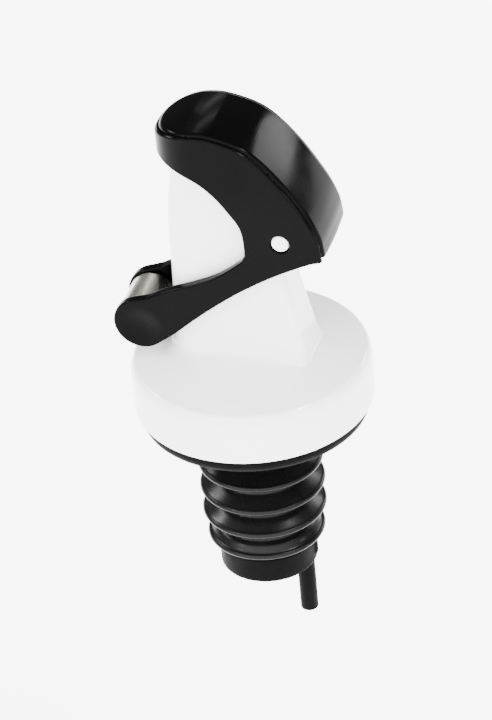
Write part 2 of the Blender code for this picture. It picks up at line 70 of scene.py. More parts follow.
# ---------------------------------------------------------------- dimensions, mostly read from the CAD

HOUSING_LOW, HOUSING_HIGH = millimetres("spout_housing")
BASE_HIGH = millimetres("base_plate")[1]
STEM_LOW = millimetres("stem_tube")[0]
SLEEVE_LOW, SLEEVE_HIGH = millimetres("stopper_sleeve")
VENT_LOW, VENT_HIGH = millimetres("vent_tube")
LEVER_LOW, LEVER_HIGH = millimetres("lever_frame")
PIN_LOW, PIN_HIGH = millimetres("pivot_pin")
ROLLER_LOW, ROLLER_HIGH = millimetres("weight_roller")
AXLE_LOW, AXLE_HIGH = millimetres("roller_axle")
SEAL_LOW, SEAL_HIGH = millimetres("mouth_seal")

PIVOT_Y, PIVOT_Z = joint_place("lever_tilt")
ARM_END_Y, ARM_END_Z = joint_place("roller_spin")

DISC_RADIUS = HOUSING_HIGH[0]
DISC_BOTTOM = HOUSING_LOW[2]
SPOUT_LIP = HOUSING_HIGH[2]
PIN_RADIUS = 0.5 * (PIN_HIGH[2] - PIN_LOW[2])
ROLLER_RADIUS = 0.5 * (ROLLER_HIGH[2] - ROLLER_LOW[2])
ROLLER_HALF_LENGTH = ROLLER_HIGH[0]
AXLE_RADIUS = 0.5 * (AXLE_HIGH[2] - AXLE_LOW[2])
VENT_RADIUS = VENT_HIGH[0]
VENT_Y = 0.5 * (VENT_LOW[1] + VENT_HIGH[1])
ARM_TIP_Y, ARM_TIP_Z, ARM_TIP_RADIUS = -18.5, 20.3, 5.0

# The lever's own shape, which its box doesn't say
LEVER_WALL = 1.9
TIP_HALF_WIDTH = 6.2
TAPER = 0.060
HOOD_HALF_WIDTH = 8.5
VISOR_START = -5.05
HOOD_SPLIT_Z = 44.0
COVER_THICKNESS = 0.9
GROOVE = 0.18
ROOF_DEPTH = 2.5

LEVER_STEP = 0.21               # spacing of the grids that the surfaces are found on
HOUSING_STEP = 0.50
STEM_STEP = 0.45
LEVER_MARGIN = 0.8              # the fine lever may pass its box by this much


# ---------------------------------------------------------------- curves in a plane

def arc(centre, radius, start, end, steps):
    angles = np.radians(np.linspace(start, end, steps + 1))
    return [(centre[0] + radius * math.cos(a), centre[1] + radius * math.sin(a)) for a in angles]


def smooth(points, steps):
    """A Catmull-Rom curve through the points, with that many steps between each pair."""
    padded = [points[0]] + list(points) + [points[-1]]
    curve = []
    for before, start, end, after in zip(padded, padded[1:], padded[2:], padded[3:]):
        for step in range(steps):
            t = step / steps
            curve.append(tuple(
                0.5 * (2 * b + (c - a) * t + (2 * a - 5 * b + 4 * c - d) * t ** 2
                       + (3 * b - a - 3 * c + d) * t ** 3)
                for a, b, c, d in zip(before, start, end, after)))
    curve.append(tuple(points[-1]))
    return curve


class Outline:
    """The signed distance to a closed outline, kept on a fine grid and read back smoothly."""

    def __init__(self, points, margin=6.0, spacing=0.2):
        corners = np.array(points, float)
        self.spacing = spacing
        self.low = corners.min(0) - margin
        size = np.ceil((corners.max(0) + margin - self.low) / spacing).astype(int) + 1
        a = self.low[0] + spacing * np.arange(size[0])
        b = self.low[1] + spacing * np.arange(size[1])
        grid_a, grid_b = np.meshgrid(a, b, indexing="ij")
        nearest = np.full(grid_a.shape, 1e9)
        inside = np.zeros(grid_a.shape, bool)
        for (x0, y0), (x1, y1) in zip(corners, np.roll(corners, -1, axis=0)):
            dx, dy = x1 - x0, y1 - y0
            length = dx * dx + dy * dy
            if length < 1e-12:
                continue
            t = np.clip(((grid_a - x0) * dx + (grid_b - y0) * dy) / length, 0.0, 1.0)
            gap = (grid_a - x0 - t * dx) ** 2 + (grid_b - y0 - t * dy) ** 2
            nearest = np.minimum(nearest, gap)
            if y0 != y1:
                crosses = (grid_b >= min(y0, y1)) & (grid_b < max(y0, y1))
                inside ^= crosses & (grid_a < x0 + (grid_b - y0) * dx / dy)
        self.table = np.where(inside, -1.0, 1.0) * np.sqrt(nearest)

    def distance(self, a, b):
        """Cubic reading of the table; outside it, the nearest edge value grows with distance."""
        top = np.array(self.table.shape) - 2.001
        u = (np.asarray(a, float) - self.low[0]) / self.spacing
        v = (np.asarray(b, float) - self.low[1]) / self.spacing
        cu, cv = np.clip(u, 1.0, top[0] - 1.0), np.clip(v, 1.0, top[1] - 1.0)
        beyond = np.hypot(u - cu, v - cv) * self.spacing
        iu, iv = cu.astype(int), cv.astype(int)
        weights_u, weights_v = self.weights(cu - iu), self.weights(cv - iv)
        value = 0.0
        for row in range(4):
            line = 0.0
            for column in range(4):
                line = line + weights_v[column] * self.table[iu + row - 1, iv + column - 1]
            value = value + weights_u[row] * line
        return value + beyond

    @staticmethod
    def weights(t):
        return (((-0.5 * t + 1.0) * t - 0.5) * t, (1.5 * t - 2.5) * t * t + 1.0,
                ((-1.5 * t + 2.0) * t + 0.5) * t, (0.5 * t - 0.5) * t * t)


# ---------------------------------------------------------------- distance fields

def both(a, b, radius):
    """Inside a and b, with the edge between them rounded to the radius."""
    return (np.minimum(np.maximum(a + radius, b + radius), 0.0)
            + np.hypot(np.maximum(a + radius, 0.0), np.maximum(b + radius, 0.0)) - radius)


def either(a, b, blend):
    """Inside a or b, with a fillet about as wide as blend where they meet."""
    near = np.maximum(blend - np.abs(a - b), 0.0) / blend
    return np.minimum(a, b) - near * near * blend * 0.25


def without(a, b, blend):
    """Inside a but not b, with the rim softened."""
    return -either(-a, b, blend)


def rise(value, start, end):
    """0 at start and 1 at end, turning smoothly."""
    t = np.clip((value - start) / (end - start), 0.0, 1.0)
    return t * t * (3.0 - 2.0 * t)


def surface_net(field, low, high, step):
    """Vertices and quads on the zero level of the field, one vertex in each cell that it crosses."""
    axes = [np.arange(l - 2 * step, h + 3 * step, step) for l, h in zip(low, high)]
    values = field(*np.meshgrid(*axes, indexing="ij"))
    solid = values < 0
    shape = [n - 1 for n in solid.shape]
    corners = [(i, j, k) for i in (0, 1) for j in (0, 1) for k in (0, 1)]

    def corner(block, c):
        return block[c[0]:c[0] + shape[0], c[1]:c[1] + shape[1], c[2]:c[2] + shape[2]]

    filled = sum(corner(solid, c).astype(np.int8) for c in corners)
    cells = np.argwhere((filled > 0) & (filled < 8))
    number = np.full(shape, -1)
    number[tuple(cells.T)] = np.arange(len(cells))
    total = np.zeros((len(cells), 3))
    hits = np.zeros(len(cells))
    for first in corners:
        for second in corners:
            if sum(second) != sum(first) + 1 or sum(abs(p - q) for p, q in zip(first, second)) != 1:
                continue
            a = values[tuple((cells + first).T)]
            b = values[tuple((cells + second).T)]
            cut = (a < 0) != (b < 0)
            share = np.where(cut, a / np.where(cut, a - b, 1.0), 0.0)
            spot = np.array(first) + share[:, None] * (np.array(second) - np.array(first))
            total += np.where(cut[:, None], spot, 0.0)
            hits += cut
    origin = np.array([axis[0] for axis in axes])
    points = origin + (cells + total / hits[:, None]) * step

    quads = []
    for axis in range(3):
        side, up = (axis + 1) % 3, (axis + 2) % 3
        here = [slice(1, -1)] * 3
        there = [slice(1, -1)] * 3
        here[axis] = slice(0, -1)
        there[axis] = slice(1, None)
        a, b = solid[tuple(here)], solid[tuple(there)]
        for flip, crossing in ((False, a & ~b), (True, b & ~a)):
            spots = np.argwhere(crossing)
            offset = np.ones(3, int)
            offset[axis] = 0
            spots = spots + offset
            ring = []
            for back_side, back_up in ((1, 1), (0, 1), (0, 0), (1, 0)):
                cell = spots.copy()
                cell[:, side] -= back_side
                cell[:, up] -= back_up
                ring.append(number[tuple(cell.T)])
            quads.append(np.stack(ring[::-1] if flip else ring, 1))
    quads = np.concatenate(quads)
    return points, quads[(quads >= 0).all(1)]


def slope(field, points, reach=0.02):
    steps = []
    for axis in range(3):
        shift = np.zeros(3)
        shift[axis] = reach
        ahead, behind = (points + shift).T, (points - shift).T
        steps.append((field(*ahead) - field(*behind)) / (2 * reach))
    return np.stack(steps, 1)


def field_mesh(name, field, low, high, step):
    """A mesh of the field's surface, with each vertex moved onto it and given the field's own normal."""
    points, quads = surface_net(field, low, high, step)
    for _ in range(4):
        gradient = slope(field, points)
        square = np.maximum((gradient ** 2).sum(1), 0.05)
        move = -(field(*points.T) / square)[:, None] * gradient
        reach = np.linalg.norm(move, axis=1)
        move *= np.minimum(1.0, 0.4 * step / np.maximum(reach, 1e-9))[:, None]
        points = points + move
    normals = slope(field, points)
    normals /= np.maximum(np.linalg.norm(normals, axis=1), 1e-9)[:, None]
    mesh = bpy.data.meshes.new(name)
    mesh.from_pydata((points * MM).tolist(), [], quads.tolist())
    mesh.validate()
    mesh.shade_smooth()
    mesh.normals_split_custom_set_from_vertices(normals.tolist())
    return mesh


def add_piece(name, mesh, finish, body, slot, *nodes):
    piece = bpy.data.objects.new(name, mesh)
    bpy.context.scene.collection.objects.link(piece)
    piece.data.materials.clear()
    piece.data.materials.append(finish)
    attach(piece, body)
    if nodes:
        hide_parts(*nodes)


def turned_mesh(name, profile, sides, centre=(0.0, 0.0), along="Z"):
    """A solid of revolution. The profile is a closed loop of (radius, height), outer side going down."""
    points = np.array(profile, float)
    angles = np.linspace(0.0, 2 * np.pi, sides, endpoint=False)
    shape = bmesh.new()
    rings = []
    for radius, height in points:
        if radius < 1e-6:
            rings.append([shape.verts.new((0.0, 0.0, height * MM))])
            continue
        rings.append([shape.verts.new((radius * math.cos(a) * MM, radius * math.sin(a) * MM, height * MM))
                      for a in angles])
    pairs = list(zip(rings, rings[1:]))
    if points[0][0] > 1e-6:
        pairs.append((rings[-1], rings[0]))
    for upper, lower in pairs:
        for index in range(sides):
            nxt = (index + 1) % sides
            corners = [upper[index % len(upper)], lower[index % len(lower)],
                       lower[nxt % len(lower)], upper[nxt % len(upper)]]
            corners = list(dict.fromkeys(corners))
            if len(corners) > 2:
                shape.faces.new(corners)
    if along == "X":
        turn = Matrix.Rotation(math.radians(90), 4, "Y")
        place = Matrix.Translation((0.0, centre[0] * MM, centre[1] * MM)) @ turn
    else:
        place = Matrix.Translation((centre[0] * MM, centre[1] * MM, 0.0))
    bmesh.ops.transform(shape, matrix=place, verts=shape.verts)
    bmesh.ops.recalc_face_normals(shape, faces=shape.faces)
    mesh = bpy.data.meshes.new(name)
    shape.to_mesh(mesh)
    shape.free()
    mesh.shade_smooth()
    mesh.set_sharp_from_angle(angle=math.radians(50))
    return mesh


def rounded(points, radii, steps=5):
    """A polyline whose inner corners are rounded; a closed loop has its ends joined by the caller."""
    result = [points[0]]
    for before, here, after, radius in zip(points, points[1:], points[2:], radii):
        if radius <= 0:
            result.append(here)
            continue
        p, q, r = np.array(before, float), np.array(here, float), np.array(after, float)
        back, on = (p - q) / np.linalg.norm(p - q), (r - q) / np.linalg.norm(r - q)
        reach = min(radius, 0.45 * np.linalg.norm(p - q), 0.45 * np.linalg.norm(r - q))
        start, end = q + back * reach, q + on * reach
        for step in range(steps + 1):
            t = step / steps
            result.append(tuple((1 - t) ** 2 * start + 2 * t * (1 - t) * q + t * t * end))
    result.append(points[-1])
    return result


# ---------------------------------------------------------------- the lever's shape

RIM_DROP = 0.80                 # the cheeks' upper edge lies this far below the panel's surface
RIM_WIDTH = 0.6
PANEL_SHOULDER = 0.8            # rounding of the panel's edge
PANEL_END_Y, PANEL_END_Z = 17.75, 38.45
AXLE_SEAT = 5.05                # half the length of the hole that holds the axle
DISH_Y, DISH_Z = -18.9, 19.4    # the shallow dish in each arm's end
DISH_RADIUS = 3.3
DISH_DEPTH = 0.6
VISOR_LIP_WALL = 0.8
VISOR_LIP_MIDDLE, VISOR_LIP_REACH = 53.0, 5.6    # the visor's wall is thin around this height
HOOD_LOW_Z, HOOD_HIGH_Z = 38.0, 54.0             # the cheeks widen to the hood between these
HOLLOW_BACK = 15.3              # the hood's hollow ends here, short of its back wall


def half_width(y):
    """Half the distance between the arms' outer sides."""
    return TIP_HALF_WIDTH + TAPER * (y - ARM_END_Y)


TOP_LINE = smooth([(-15.4, 59.4), (-13.3, 60.9), (-10.6, 61.95), (-6.1, 62.7), (-1.6, 62.5), (4.8, 60.1),
                   (10.3, 54.6), (15.1, 47.4), (17.1, 42.9), (17.6, 40.2), (17.7, 38.5)], 14)


def lever_outline():
    back = [(17.6, 38.25), (17.3, 38.1)]
    lower = smooth([(15.2, 37.5), (12.2, 36.1), (7.3, 33.5), (0.8, 29.35), (-6.1, 24.05), (-12.2, 18.75)], 12)
    tip = arc((ARM_TIP_Y, ARM_TIP_Z), ARM_TIP_RADIUS, -55, -250, 48)
    upper = smooth([(-16.8, 26.0), (-12.8, 28.1), (-7.8, 30.1), (-2.9, 32.5), (1.1, 35.5), (2.3, 36.9),
                    (2.75, 38.4), (2.4, 43.2), (0.65, 46.65), (-1.95, 50.4), (-5.25, 53.25), (-9.8, 55.1),
                    (-13.7, 56.2)], 12)
    return TOP_LINE + back + lower + tip + upper + [(-15.4, 56.8)]


LEVER_SIDE = Outline(lever_outline())
UNDER_TOP = Outline(TOP_LINE + [(18.0, 34.0), (18.0, 0.0), (-30.0, 0.0), (-30.0, 54.0)], 8.0)


def beside(x, y, z):
    """Signed distance to the plan: arms that taper forwards, and a wide hood with a half-round visor."""
    share = rise(z, HOOD_LOW_Z, HOOD_HIGH_Z)
    straight = np.abs(x) - half_width(y) * (1.0 - share) - HOOD_HALF_WIDTH * share
    nose = np.hypot(x, y - VISOR_START) - HOOD_HALF_WIDTH
    return np.where((z > HOOD_SPLIT_Z) & (y < VISOR_START), nose, straight)


def crown(x):
    """How far the panel falls from its middle line towards the sides."""
    return 0.2 * (x / 7.0) ** 2


def lever_field(x, y, z):
    """The lever: a side outline and a plan, hollow below, with a ledge and a recess for the panel."""
    plan = beside(x, y, z)
    top = UNDER_TOP.distance(y, z)
    hood = rise(z, 36.4, 37.4)
    outer = both(LEVER_SIDE.distance(y, z), plan, 0.35)
    ledge = top + RIM_DROP + 0.5 * plan - 3.0 * (1.0 - hood)
    outer = both(outer, ledge, 0.18)
    hollow = both(top + ROOF_DEPTH, plan + LEVER_WALL, 0.9)
    hollow = np.maximum(hollow, y - HOLLOW_BACK)
    shape = without(outer, hollow, 0.4)
    lip = np.hypot(x, y - VISOR_START) - HOOD_HALF_WIDTH + VISOR_LIP_WALL
    lip = np.maximum(lip, y - VISOR_START)
    shape = without(shape, np.maximum(lip, np.abs(z - VISOR_LIP_MIDDLE) - VISOR_LIP_REACH), 0.15)
    recess = np.maximum(-(top + COVER_THICKNESS + 0.3), plan + RIM_WIDTH)
    shape = without(shape, recess, 0.15)
    hole = np.hypot(y - PIVOT_Y, z - PIVOT_Z) - (PIN_RADIUS + 0.22)
    shape = without(shape, hole, 0.25)
    seat = np.maximum(np.hypot(y - ARM_END_Y, z - ARM_END_Z) - (AXLE_RADIUS + 0.2), np.abs(x) - AXLE_SEAT)
    shape = without(shape, seat, 0.05)
    away = np.hypot(y - DISH_Y, z - DISH_Z)
    reach = half_width(DISH_Y) + DISH_RADIUS ** 2 / (2.0 * DISH_DEPTH) - DISH_DEPTH
    ball = np.hypot(np.abs(x) - reach, away) - (reach - half_width(DISH_Y) + DISH_DEPTH)
    return without(shape, ball, 0.7)


def panel_end(y, z):
    """Positive past the lower end of the inset panel at the back of the hood."""
    return (y - PANEL_END_Y) * -0.35 - (z - PANEL_END_Z) * 0.937


def cover_field(x, y, z):
    """The glossy panel that lies in the hood's recess, with a groove left round it."""
    plan = beside(x, y, z) + RIM_WIDTH + GROOVE
    top = UNDER_TOP.distance(y, z) + crown(x)
    shell = both(top, plan, PANEL_SHOULDER)
    shell = both(shell, panel_end(y, z), 0.25)
    return np.maximum(shell, -(UNDER_TOP.distance(y, z) + COVER_THICKNESS))


# ---------------------------------------------------------------- the housing's shape

def disc_outline():
    summit, shoulder_top, wall_top, shoulder = 14.9, 12.5, 9.9, 20.5
    dome = [(r, summit - (summit - shoulder_top) * (r / shoulder) ** 2)
            for r in np.linspace(-shoulder, shoulder, 81)]
    run, lift = DISC_RADIUS - shoulder, shoulder_top - wall_top
    bend = [(shoulder + run * math.cos(a), wall_top + lift * math.sin(a))
            for a in np.radians(np.linspace(78, 0, 27))]
    foot = [(DISC_RADIUS - 0.1, DISC_BOTTOM + 0.35), (DISC_RADIUS - 0.45, DISC_BOTTOM)]
    right = bend + foot
    return dome + right + [(-r, z) for r, z in right[::-1]]


def spout_side_outline():
    top = [(-2.5, 57.9), (1.6, 56.3), (5.4, 52.9), (9.0, 48.6), (11.2, 45.4)]
    head = arc((PIVOT_Y, PIVOT_Z), 3.8, 40, -75, 24)
    neck = smooth([head[-1], (9.4, 36.2), (8.7, 34.6), (8.6, 32.6), (9.4, 27.9), (10.6, 21.9), (11.6, 16.6),
                   (12.6, 12.0)], 10)[1:]
    front = [(-18.0, 12.0), (-18.0, SPOUT_LIP), (-4.5, SPOUT_LIP)]
    return front + smooth(top + [head[0]], 8)[:-1] + head + neck


DISC_SIDE = Outline(disc_outline())
SPOUT_SIDE = Outline(spout_side_outline())
FRONT_HEIGHTS = (12.0, 14.4, 17.0, 29.4, 42.4, 52.4, 62.0)
FRONTS = (-14.3, -13.9, -13.6, -13.2, -12.8, -11.3, -9.9)
FLARE_HEIGHTS = (12.0, 14.4, 16.5, 21.0, 25.0)
FLARES = (2.0, 1.5, 0.9, 0.3, 0.0)
CHANNEL_HEIGHTS = (6.0, 16.0, 28.0, 42.0, 52.0, 62.0)
CHANNEL_MIDDLES = (-1.7, -3.2, -5.0, -5.4, -5.8, -5.7)
CHANNEL_LENGTHS = (3.6, 4.4, 5.6, 5.2, 4.1, 3.5)
CHANNEL_WIDTHS = (3.6, 3.7, 3.6, 3.5, 3.2, 3.0)
SPOUT_NOSE, SPOUT_HALF = 4.3, 4.9    # half widths of the spout at its front and at its back
SPOUT_BACK_Y = 15.0
BOSS_RADIUS, BOSS_HALF_LENGTH = 3.2, 5.6
CHANNEL_BOTTOM = 6.0
AIR_Y, AIR_RADIUS, AIR_BOTTOM = 5.1, 1.0, 40.0


def curve_through(heights, values):
    """A smooth function of height through the rows, as a fine table."""
    line = np.array(smooth(list(zip(heights, values)), 12))
    return lambda z: np.interp(z, line[:, 0], line[:, 1])


FRONT_AT = curve_through(FRONT_HEIGHTS, FRONTS)
FLARE_AT = curve_through(FLARE_HEIGHTS, FLARES)
MIDDLE_AT = curve_through(CHANNEL_HEIGHTS, CHANNEL_MIDDLES)
LENGTH_AT = curve_through(CHANNEL_HEIGHTS, CHANNEL_LENGTHS)
WIDTH_AT = curve_through(CHANNEL_HEIGHTS, CHANNEL_WIDTHS)


def spout_field(x, y, z):
    """The spout: a wedge with a round nose, flared at its foot and cut to the side outline."""
    flare = FLARE_AT(z)
    nose, half = SPOUT_NOSE + flare, SPOUT_HALF + flare
    nose_y = FRONT_AT(z) + nose
    run = SPOUT_BACK_Y - nose_y
    lean = (half - nose) / run
    across = np.sqrt(1.0 - lean * lean)
    along = (y - nose_y) * across + np.abs(x) * lean
    flank = np.abs(x) * across - (y - nose_y) * lean - nose
    front = np.hypot(x, y - nose_y) - nose
    plan = np.where(along < 0.0, front, flank)
    edge = 0.6 + 0.9 * rise(-z, -44.0, -34.0)
    return both(plan, SPOUT_SIDE.distance(y, z), edge)


def housing_field(x, y, z):
    """The disc and the spout as one moulding, with the pin's boss and the two channels."""
    disc = DISC_SIDE.distance(np.hypot(x, y), z)
    fillet = 0.3 + 1.4 * rise(-y, -9.5, -4.0)
    shape = either(spout_field(x, y, z), disc, fillet)
    boss = np.maximum(np.hypot(y - PIVOT_Y, z - PIVOT_Z) - BOSS_RADIUS, np.abs(x) - BOSS_HALF_LENGTH)
    shape = either(shape, boss, 0.5)
    long, wide = LENGTH_AT(z), WIDTH_AT(z)
    oval = (np.hypot((y - MIDDLE_AT(z)) / long, x / wide) - 1.0) * wide
    shape = without(shape, np.maximum(oval, CHANNEL_BOTTOM - z), 0.5)
    air = np.maximum(np.hypot(x, y - AIR_Y) - AIR_RADIUS, AIR_BOTTOM - z)
    shape = without(shape, air, 0.2)
    pin = np.hypot(y - PIVOT_Y, z - PIVOT_Z) - (PIN_RADIUS + 0.2)
    return without(shape, pin, 0.1)


# ---------------------------------------------------------------- materials

def new_material(name, colour, roughness, metallic=0.0):
    made = bpy.data.materials.new(name)
    made.use_nodes = True
    shader = made.node_tree.nodes["Principled BSDF"]
    shader.inputs["Base Color"].default_value = (*colour, 1.0)
    shader.inputs["Roughness"].default_value = roughness
    shader.inputs["Metallic"].default_value = metallic
    return made, shader


def noise(material, scale, detail, stretch=(1.0, 1.0, 1.0)):
    """A noise texture in the object's own coordinates."""
    nodes, links = material.node_tree.nodes, material.node_tree.links
    place = nodes.new("ShaderNodeTexCoord")
    mapping = nodes.new("ShaderNodeMapping")
    mapping.inputs["Scale"].default_value = stretch
    texture = nodes.new("ShaderNodeTexNoise")
    texture.inputs["Scale"].default_value = scale
    texture.inputs["Detail"].default_value = detail
    links.new(place.outputs["Object"], mapping.inputs["Vector"])
    links.new(mapping.outputs["Vector"], texture.inputs["Vector"])
    return texture


def vary(material, shader, texture, socket, low, high):
    """Let the texture move a plain value between two limits."""
    nodes, links = material.node_tree.nodes, material.node_tree.links
    spread = nodes.new("ShaderNodeMapRange")
    spread.inputs["From Min"].default_value = 0.3
    spread.inputs["From Max"].default_value = 0.7
    spread.inputs["To Min"].default_value = low
    spread.inputs["To Max"].default_value = high
    links.new(texture.outputs["Fac"], spread.inputs["Value"])
    links.new(spread.outputs["Result"], shader.inputs[socket])


def tint(material, shader, texture, dark, light):
    nodes, links = material.node_tree.nodes, material.node_tree.links
    ramp = nodes.new("ShaderNodeValToRGB")
    ramp.color_ramp.elements[0].position = 0.3
    ramp.color_ramp.elements[0].color = (*dark, 1.0)
    ramp.color_ramp.elements[1].position = 0.7
    ramp.color_ramp.elements[1].color = (*light, 1.0)
    links.new(texture.outputs["Fac"], ramp.inputs["Fac"])
    links.new(ramp.outputs["Color"], shader.inputs["Base Color"])


def emboss(material, shader, texture, strength, depth):
    nodes, links = material.node_tree.nodes, material.node_tree.links
    bump = nodes.new("ShaderNodeBump")
    bump.inputs["Strength"].default_value = strength
    bump.inputs["Distance"].default_value = depth
    links.new(texture.outputs["Fac"], bump.inputs["Height"])
    links.new(bump.outputs["Normal"], shader.inputs["Normal"])


def white_plastic():
    made, shader = new_material("white_plastic", (0.83, 0.83, 0.825), 0.22)
    shader.inputs["Subsurface Weight"].default_value = 0.08
    shader.inputs["Subsurface Radius"].default_value = (0.004, 0.004, 0.004)
    shader.inputs["Subsurface Scale"].default_value = 0.4
    shader.inputs["Specular IOR Level"].default_value = 0.5
    tint(made, shader, noise(made, 60.0, 3.0), (0.695, 0.697, 0.692), (0.715, 0.717, 0.713))
    vary(made, shader, noise(made, 260.0, 4.0), "Roughness", 0.09, 0.15)
    emboss(made, shader, noise(made, 420.0, 2.0), 0.03, 0.00005)
    return made


def black_plastic():
    made, shader = new_material("black_plastic", (0.0009, 0.0009, 0.001), 0.14)
    shader.inputs["Specular IOR Level"].default_value = 0.025
    tint(made, shader, noise(made, 90.0, 3.0), (0.0007, 0.0007, 0.0008), (0.0011, 0.0011, 0.0012))
    vary(made, shader, noise(made, 180.0, 5.0), "Roughness", 0.12, 0.20)
    emboss(made, shader, noise(made, 500.0, 2.0), 0.02, 0.00004)
    return made


def black_rubber():
    made, shader = new_material("black_rubber", (0.0024, 0.0024, 0.0025), 0.25)
    shader.inputs["Specular IOR Level"].default_value = 0.09
    tint(made, shader, noise(made, 120.0, 3.0), (0.0019, 0.0019, 0.0020), (0.0029, 0.0029, 0.0031))
    vary(made, shader, noise(made, 300.0, 5.0), "Roughness", 0.20, 0.34)
    emboss(made, shader, noise(made, 900.0, 3.0), 0.10, 0.00005)
    return made


def dark_plastic():
    made, shader = new_material("dark_plastic", (0.0010, 0.0010, 0.0011), 0.5)
    shader.inputs["Specular IOR Level"].default_value = 0.02
    tint(made, shader, noise(made, 700.0, 4.0), (0.0007, 0.0007, 0.0008), (0.0013, 0.0013, 0.0014))
    vary(made, shader, noise(made, 350.0, 4.0), "Roughness", 0.42, 0.58)
    emboss(made, shader, noise(made, 1800.0, 3.0), 0.25, 0.00006)
    return made


BRUSH_STRETCH = (0.06, 1.0, 1.0)    # the grain runs along the roller


def brushed_steel():
    made, shader = new_material("brushed_steel", (0.36, 0.34, 0.32), 0.28, 1.0)
    grain = noise(made, 700.0, 6.0, BRUSH_STRETCH)
    tint(made, shader, grain, (0.34, 0.315, 0.285), (0.50, 0.465, 0.42))
    vary(made, shader, grain, "Roughness", 0.20, 0.36)
    emboss(made, shader, grain, 0.12, 0.00004)
    return made


def clear_silicone():
    made, shader = new_material("clear_silicone", (0.62, 0.62, 0.60), 0.4)
    shader.inputs["Subsurface Weight"].default_value = 0.3
    shader.inputs["Subsurface Radius"].default_value = (0.002, 0.002, 0.002)
    tint(made, shader, noise(made, 200.0, 3.0), (0.58, 0.58, 0.56), (0.66, 0.66, 0.64))
    vary(made, shader, noise(made, 500.0, 4.0), "Roughness", 0.36, 0.48)
    emboss(made, shader, noise(made, 900.0, 2.0), 0.08, 0.00005)
    return made


# ---------------------------------------------------------------- pieces

def build_housing(finish):
    mesh = field_mesh("housing_shell", housing_field, HOUSING_LOW, HOUSING_HIGH, HOUSING_STEP)
    add_piece("housing_shell", mesh, finish, "root", "white_plastic", "spout_housing")


def build_lever(finish):
    mesh = field_mesh("lever_shell", lever_field, LEVER_LOW - LEVER_MARGIN, LEVER_HIGH + LEVER_MARGIN,
                      LEVER_STEP)
    add_piece("lever_shell", mesh, finish, "lever", "black_plastic", "lever_frame")
    low = np.array([LEVER_LOW[0] - LEVER_MARGIN, LEVER_LOW[1], PANEL_END_Z - 1.0])
    high = LEVER_HIGH + LEVER_MARGIN
    mesh = field_mesh("hood_panel", cover_field, low, high, LEVER_STEP)
    add_piece("hood_panel", mesh, finish, "lever", "black_plastic", "hood_cover")


def build_base(finish):
    outer, foot, rim, ring = BASE_HIGH[0], 20.7, 19.9, 18.5
    top, seat, bore = 2.1, 9.1, 7.5
    profile = rounded([(0.5 * (rim + ring), BASE_HIGH[2]), (rim, BASE_HIGH[2]), (rim, top), (outer, top),
                       (outer, 0.9), (foot, 0.0), (seat, 0.0), (seat, 0.5), (bore, 0.5), (bore, top),
                       (ring, top), (ring, BASE_HIGH[2]), (0.5 * (rim + ring), BASE_HIGH[2])],
                      [0.3, 0.0, 0.3, 0.5, 0.3, 0.15, 0.0, 0.15, 0.2, 0.0, 0.3])[:-1]
    mesh = turned_mesh("base_disc", profile, 180)
    add_piece("base_disc", mesh, finish, "root", "dark_plastic", "base_plate")


FIN_RADII = (11.6, 11.6, 11.5, 10.9)
FIRST_FIN, FIN_PITCH = -11.5, 5.3


def build_sleeve(finish):
    core = 8.3
    top, foot = SLEEVE_HIGH[2], SLEEVE_LOW[2]
    profile = [(7.5, top), (core + 0.3, top), (core + 0.5, top - 0.2), (core + 0.5, -1.6),
               (core + 0.35, -2.1), (core, -2.7)]
    fins = []
    for number, radius in enumerate(FIN_RADII):
        rim = FIRST_FIN - FIN_PITCH * number
        root = rim + 2.3
        fins += smooth([(core, root + 1.3), (core + 0.22, root + 0.6), (core + 1.1, root - 0.05),
                        (radius - 0.75, rim + 1.28), (radius - 0.22, rim + 0.98), (radius, rim + 0.52),
                        (radius - 0.25, rim + 0.1), (radius - 0.7, rim), (core + 1.2, rim + 0.55),
                        (core + 0.3, rim + 0.35), (core, rim - 0.5)], 5)
    profile += fins + [(core, foot + 0.2), (core - 0.2, foot), (7.5, foot)]
    mesh = turned_mesh("stopper_fins", profile, 160)
    add_piece("stopper_fins", mesh, finish, "root", "black_rubber", "stopper_sleeve")


STEM_COLLAR_RADIUS = 9.0
STEM_COLLAR_TOP = -28.6
STEM_BARREL_RADIUS = 7.2
STEM_CHANNEL_RADIUS = 3.6
STEM_CHANNEL_Y = -1.7
STEM_HEAD = 4.0


def stem_field(x, y, z):
    radius = np.hypot(x, y)
    collar = both(radius - STEM_COLLAR_RADIUS, np.maximum(z - STEM_COLLAR_TOP, STEM_LOW[2] - z), 0.5)
    rib = np.hypot(x, y - STEM_COLLAR_RADIUS + 0.25) - 0.75
    rib = both(rib, np.maximum(z - STEM_COLLAR_TOP + 0.1, STEM_LOW[2] + 1.3 - z), 0.6)
    shape = either(collar, rib, 0.25)
    shape = either(shape, np.maximum(radius - STEM_BARREL_RADIUS,
                                     np.maximum(z - STEM_HEAD, STEM_COLLAR_TOP - 1.0 - z)), 0.1)
    channel = np.hypot(x, y - STEM_CHANNEL_Y) - STEM_CHANNEL_RADIUS
    shape = without(shape, channel, 0.3)
    socket = np.maximum(np.hypot(x, y - VENT_Y) - (VENT_RADIUS + 0.12), z - VENT_HIGH[2] - 0.2)
    return without(shape, socket, 0.15)


def build_stem(finish):
    low = np.array([-9.6, -9.6, STEM_LOW[2]])
    high = np.array([9.6, 9.9, STEM_HEAD])
    mesh = field_mesh("stem_collar", stem_field, low, high, STEM_STEP)
    add_piece("stem_collar", mesh, finish, "root", "dark_plastic", "stem_tube")


